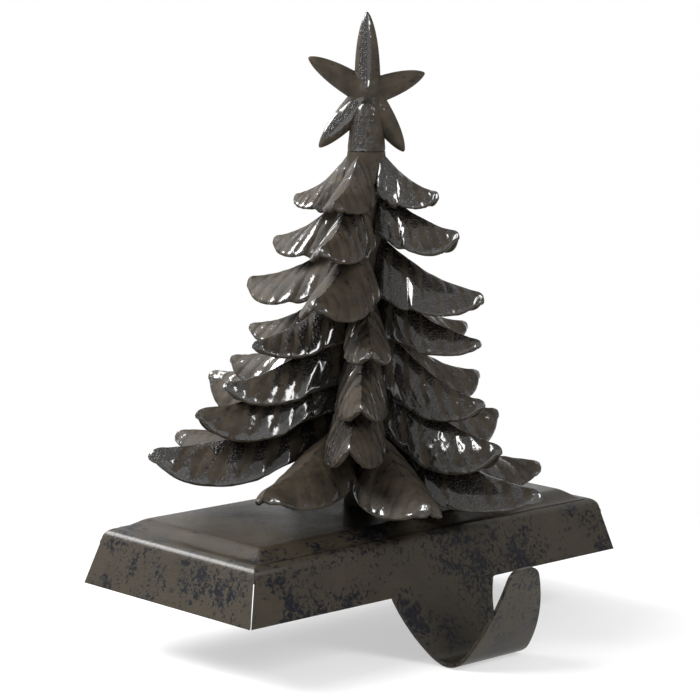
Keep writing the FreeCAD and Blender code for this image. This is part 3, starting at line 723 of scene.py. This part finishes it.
class Nodes:
    """A small helper to build a shader node tree in reading order."""

    def __init__(self, name):
        self.material = bpy.data.materials.new(name)
        self.material.use_nodes = True
        self.tree = self.material.node_tree
        self.shader = self.tree.nodes["Principled BSDF"]

    def add(self, kind, **settings):
        node = self.tree.nodes.new(kind)
        for key, value in settings.items():
            setattr(node, key, value)
        return node

    def link(self, source, target):
        self.tree.links.new(source, target)

    def drive(self, socket, source):
        """Feed one of the shader's sockets, or set it to a plain number."""
        if isinstance(source, (int, float)):
            self.shader.inputs[socket].default_value = source
        else:
            self.link(source, self.shader.inputs[socket])

    def noise(self, scale, detail=3.0, rough=0.55, stretch=(1, 1, 1), distortion=0.0):
        """Noise in the object's own coordinates, in features per metre."""
        coordinates = self.add("ShaderNodeTexCoord")
        mapping = self.add("ShaderNodeMapping")
        mapping.inputs["Scale"].default_value = stretch
        self.link(coordinates.outputs["Object"], mapping.inputs["Vector"])
        node = self.add("ShaderNodeTexNoise")
        node.inputs["Scale"].default_value = scale
        node.inputs["Detail"].default_value = detail
        node.inputs["Roughness"].default_value = rough
        node.inputs["Distortion"].default_value = distortion
        self.link(mapping.outputs["Vector"], node.inputs["Vector"])
        return node.outputs["Fac"]

    def weighted_sum(self, first, weight, second):
        """first * weight + second."""
        node = self.add("ShaderNodeMath", operation="MULTIPLY_ADD")
        self.link(first, node.inputs[0])
        node.inputs[1].default_value = weight
        self.link(second, node.inputs[2])
        return node.outputs["Value"]

    def steps(self, source, *stops):
        """A ramp through (position, grey or colour) stops."""
        node = self.add("ShaderNodeValToRGB")
        ramp = node.color_ramp
        while len(ramp.elements) < len(stops):
            ramp.elements.new(0.5)
        for element, (position, colour) in zip(ramp.elements, stops):
            element.position = position
            if isinstance(colour, (int, float)):
                colour = (colour, colour, colour)
            element.color = (*colour, 1)
        self.link(source, node.inputs["Fac"])
        return node.outputs["Color"]

    def blend(self, factor, first, second):
        """One colour painted over another where the factor is high."""
        node = self.add("ShaderNodeMix", data_type="RGBA")
        self.link(factor, node.inputs["Factor"])
        for source, target in ((first, node.inputs["A"]), (second, node.inputs["B"])):
            if isinstance(source, tuple):
                target.default_value = (*source, 1)
            else:
                self.link(source, target)
        return node.outputs["Result"]

    def bump(self, height, strength, distance, normal=None):
        """Relief of a height; distance: in metres. normal: relief to add it to."""
        node = self.add("ShaderNodeBump")
        node.inputs["Strength"].default_value = strength
        node.inputs["Distance"].default_value = distance
        self.link(height, node.inputs["Height"])
        if normal is not None:
            self.link(normal, node.inputs["Normal"])
        return node.outputs["Normal"]


def casting_lacquer():
    """Glossy bluish-black lacquer on a pebbled casting, wiped over with a thin matte brown coat."""
    n = Nodes("casting_lacquer")
    polish = n.add("ShaderNodeAttribute", attribute_name="polish").outputs["Fac"]
    patches = n.weighted_sum(n.noise(900, detail=4.0, rough=0.65), 0.9, polish)
    bare = n.steps(patches, (0.86, 0.0), (1.0, 1.0))
    brown = n.steps(n.noise(190, detail=4.0), *CASTING_BROWNS)
    specks = n.steps(n.noise(700, detail=5.0, rough=0.65), (0.60, 0.0), (0.65, 1.0))
    coated = n.blend(specks, brown, CASTING_SPECKS)
    n.drive("Base Color", n.blend(bare, coated, CASTING_BLACK))
    n.drive("Roughness", n.steps(bare, (0.0, 0.55), (1.0, 0.30)))
    n.drive("Specular IOR Level", 0.15)
    n.drive("Coat Weight", n.steps(bare, (0.0, 0.0), (1.0, 1.0)))
    n.drive("Coat Roughness", 0.12)
    n.drive("Coat IOR", 1.9)
    swell = n.noise(420, detail=2.0, stretch=(1, 1, 0.7))
    swell = n.bump(swell, strength=0.35, distance=0.0005)
    pebbles = n.blend(bare, LEVEL, n.noise(1300, detail=1.5, rough=0.5))
    pebbles = n.bump(pebbles, strength=0.9, distance=0.001, normal=swell)
    grain = n.noise(3600, detail=2.0)
    n.drive("Normal", n.bump(grain, strength=0.25, distance=0.00012, normal=pebbles))
    return n.material


def sheet_lacquer():
    """Satin brown-grey coat over glossy bluish-black lacquer, which shows in blotches."""
    n = Nodes("sheet_lacquer")
    brown = n.steps(n.noise(60), *SHEET_BROWNS)
    clusters = n.noise(70, detail=2.0)
    speckle = n.noise(760, detail=7.0, rough=0.72, distortion=0.6)
    wear = n.weighted_sum(clusters, 0.55, speckle)
    blotch = n.steps(wear, (0.812, 0.0), (0.834, 1.0))
    n.drive("Base Color", n.blend(blotch, brown, SHEET_BLACK))
    n.drive("Roughness", n.steps(wear, (0.76, 0.42), (0.84, 0.30)))
    n.drive("Specular IOR Level", 0.06)
    n.drive("Coat Weight", 0.3)
    n.drive("Coat Roughness", 0.22)
    grain = n.noise(1500, detail=5.0, rough=0.75)
    n.drive("Normal", n.bump(grain, strength=0.5, distance=0.0004))
    return n.material


def plain_steel():
    """Plain zinc-plated steel of the fasteners."""
    n = Nodes("plain_steel")
    n.drive("Metallic", 1.0)
    n.drive("Base Color", n.steps(n.noise(400), *STEEL_GREYS))
    n.drive("Roughness", n.steps(n.noise(900), (0.3, 0.3), (0.7, 0.42)))
    return n.material


def dress(piece, material):
    piece.data.materials.clear()
    piece.data.materials.append(material)


# Studio

CAMERA_AZIMUTH = -44.721
CAMERA_ELEVATION = 8.841
CAMERA_ROLL = 1.1
CAMERA_DISTANCE = 0.79386
CAMERA_OFFSET = (-0.0024, 0.06315)  # to the right and up, of the line through the rim's middle
CAMERA_SENSOR = 36.0
CAMERA_LENS = 2700.0 / 700.0 * CAMERA_SENSOR
FLOOR_HEIGHT = -0.0184
BACKDROP_HALF_WIDTH = 2.5
BACKDROP_DEPTH = 1.6
BACKDROP_HEIGHT = 2.2
WORLD_LEVEL = 0.35
LIGHT_TARGET = Vector((0, 0, 0.06))

# White of the papers where they are seen: from, to (metres from the middle), and share at the start
FLOOR_WHITE = (0.06, 0.20, 0.5)
WALL_WHITE = (0.0, 0.1, 1.0)

# name, degrees to the right of the camera, degrees up, distance, (width, height), watts
SOFTBOXES = (
    ("left_box", -87, 47, 1.1, (0.9, 0.55), 20.0),
    ("low_left_box", -106, 32, 1.1, (0.45, 0.35), 10.0),
    ("back_left_box", -141, 22, 1.1, (0.35, 0.25), 1.5),
    ("right_box", 52, 34, 1.1, (0.4, 0.6), 7.0),
    ("front_fill", 24, 16, 1.6, (2.2, 1.6), 4.0),
)


def camera_axes():
    """Directions to the right, up and back from the camera's picture."""
    azimuth, elevation = math.radians(CAMERA_AZIMUTH), math.radians(CAMERA_ELEVATION)
    back = Vector((
        math.sin(azimuth) * math.cos(elevation),
        -math.cos(azimuth) * math.cos(elevation),
        math.sin(elevation),
    ))
    level = Vector((0, 0, 1)).cross(back).normalized()
    upright = back.cross(level)
    c, s = math.cos(math.radians(CAMERA_ROLL)), math.sin(math.radians(CAMERA_ROLL))
    return c * level + s * upright, c * upright - s * level, back


def ground_axes():
    """Level directions to the camera and to the picture's right."""
    right, _, back = camera_axes()
    return Vector((back.x, back.y, 0)).normalized(), Vector((right.x, right.y, 0)).normalized()


def camera():
    right, up, back = camera_axes()
    place = back * CAMERA_DISTANCE + right * CAMERA_OFFSET[0] + up * CAMERA_OFFSET[1]
    data = bpy.data.cameras.new("camera")
    data.lens = CAMERA_LENS
    data.sensor_width = CAMERA_SENSOR
    item = bpy.data.objects.new("camera", data)
    turn = Matrix((right, up, back)).transposed().to_4x4()
    item.matrix_world = Matrix.Translation(place) @ turn
    bpy.context.scene.collection.objects.link(item)
    bpy.context.scene.camera = item


def area_light(name, bearing, height, distance, size, power):
    """A softbox pointed at the tree."""
    level, side = ground_axes()
    b, h = math.radians(bearing), math.radians(height)
    toward = (level * math.cos(b) + side * math.sin(b)) * math.cos(h)
    toward = toward + Vector((0, 0, math.sin(h)))
    data = bpy.data.lights.new(name, "AREA")
    data.shape = "RECTANGLE"
    data.size, data.size_y = size
    data.energy = power
    item = bpy.data.objects.new(name, data)
    turn = toward.to_track_quat("Z", "Y").to_matrix().to_4x4()
    item.matrix_world = Matrix.Translation(LIGHT_TARGET + toward * distance) @ turn
    bpy.context.scene.collection.objects.link(item)


def seen_directly(n):
    """One where a ray comes from the camera, a mirror-like surface or through glass, else zero."""
    path = n.add("ShaderNodeLightPath")
    total = path.outputs["Is Camera Ray"]
    for kind in ("Is Glossy Ray", "Is Transmission Ray"):
        most = n.add("ShaderNodeMath", operation="MAXIMUM")
        n.link(total, most.inputs[0])
        n.link(path.outputs[kind], most.inputs[1])
        total = most.outputs["Value"]
    return total


def world():
    """Plain grey light all round."""
    scene = bpy.context.scene
    scene.world = bpy.data.worlds.new("studio")
    scene.world.use_nodes = True
    sky = scene.world.node_tree.nodes["Background"]
    sky.inputs["Color"].default_value = (1, 1, 1, 1)
    sky.inputs["Strength"].default_value = WORLD_LEVEL


def pale_paper(name, near, far, start):
    """White paper that shows pure white when seen, from a distance on; nearer it keeps shadows."""
    n = Nodes(name)
    n.drive("Base Color", n.steps(n.noise(3), (0.3, 0.92), (0.7, 0.96)))
    n.drive("Roughness", 0.9)
    n.drive("Specular IOR Level", 0.0)
    white = n.add("ShaderNodeEmission")
    white.inputs["Color"].default_value = (1, 1, 1, 1)
    white.inputs["Strength"].default_value = 1.0
    place = n.add("ShaderNodeTexCoord")
    away = n.add("ShaderNodeVectorMath", operation="LENGTH")
    n.link(place.outputs["Object"], away.inputs[0])
    fade = n.add("ShaderNodeMapRange", interpolation_type="SMOOTHSTEP")
    fade.inputs["From Min"].default_value = near
    fade.inputs["From Max"].default_value = far
    fade.inputs["To Min"].default_value = start
    n.link(away.outputs["Value"], fade.inputs["Value"])
    factor = n.add("ShaderNodeMath", operation="MULTIPLY")
    n.link(seen_directly(n), factor.inputs[0])
    n.link(fade.outputs["Result"], factor.inputs[1])
    mix = n.add("ShaderNodeMixShader")
    n.link(factor.outputs["Value"], mix.inputs["Fac"])
    n.link(n.shader.outputs["BSDF"], mix.inputs[1])
    n.link(white.outputs["Emission"], mix.inputs[2])
    n.link(mix.outputs["Shader"], n.tree.nodes["Material Output"].inputs["Surface"])
    return n.material


def stage_sheet(name, corners, material):
    mesh = bpy.data.meshes.new(name)
    mesh.from_pydata([tuple(corner) for corner in corners], [], [(0, 1, 2, 3)])
    mesh.materials.append(material)
    item = bpy.data.objects.new(name, mesh)
    bpy.context.scene.collection.objects.link(item)


def backdrop():
    """A pale floor under the object and a pale wall behind it, square to the camera."""
    level, side = ground_axes()
    side = side * BACKDROP_HALF_WIDTH
    ground = Vector((0, 0, FLOOR_HEIGHT))
    front = level * BACKDROP_DEPTH + ground
    behind = -level * BACKDROP_DEPTH + ground
    top = -level * BACKDROP_DEPTH + Vector((0, 0, BACKDROP_HEIGHT))
    stage_sheet(
        "floor",
        (front - side, front + side, behind + side, behind - side),
        pale_paper("floor_paper", *FLOOR_WHITE),
    )
    stage_sheet(
        "wall",
        (behind - side, behind + side, top + side, top - side),
        pale_paper("wall_paper", *WALL_WHITE),
    )


def studio():
    world()
    backdrop()
    camera()
    for box in SOFTBOXES:
        area_light(*box)
    bpy.context.scene.view_settings.view_transform = "Standard"


# The object

lacquer = casting_lacquer()
for number in RINGS:
    dress(branch_ring(number), lacquer)
dress(star_finial(), lacquer)
dress(frame["nodes"]["trunk_post"], lacquer)

dress(mantel_base(), sheet_lacquer())

steel = plain_steel()
for node in ("tie_rod", "tie_washer", "tie_nut"):
    dress(frame["nodes"][node], steel)

studio()
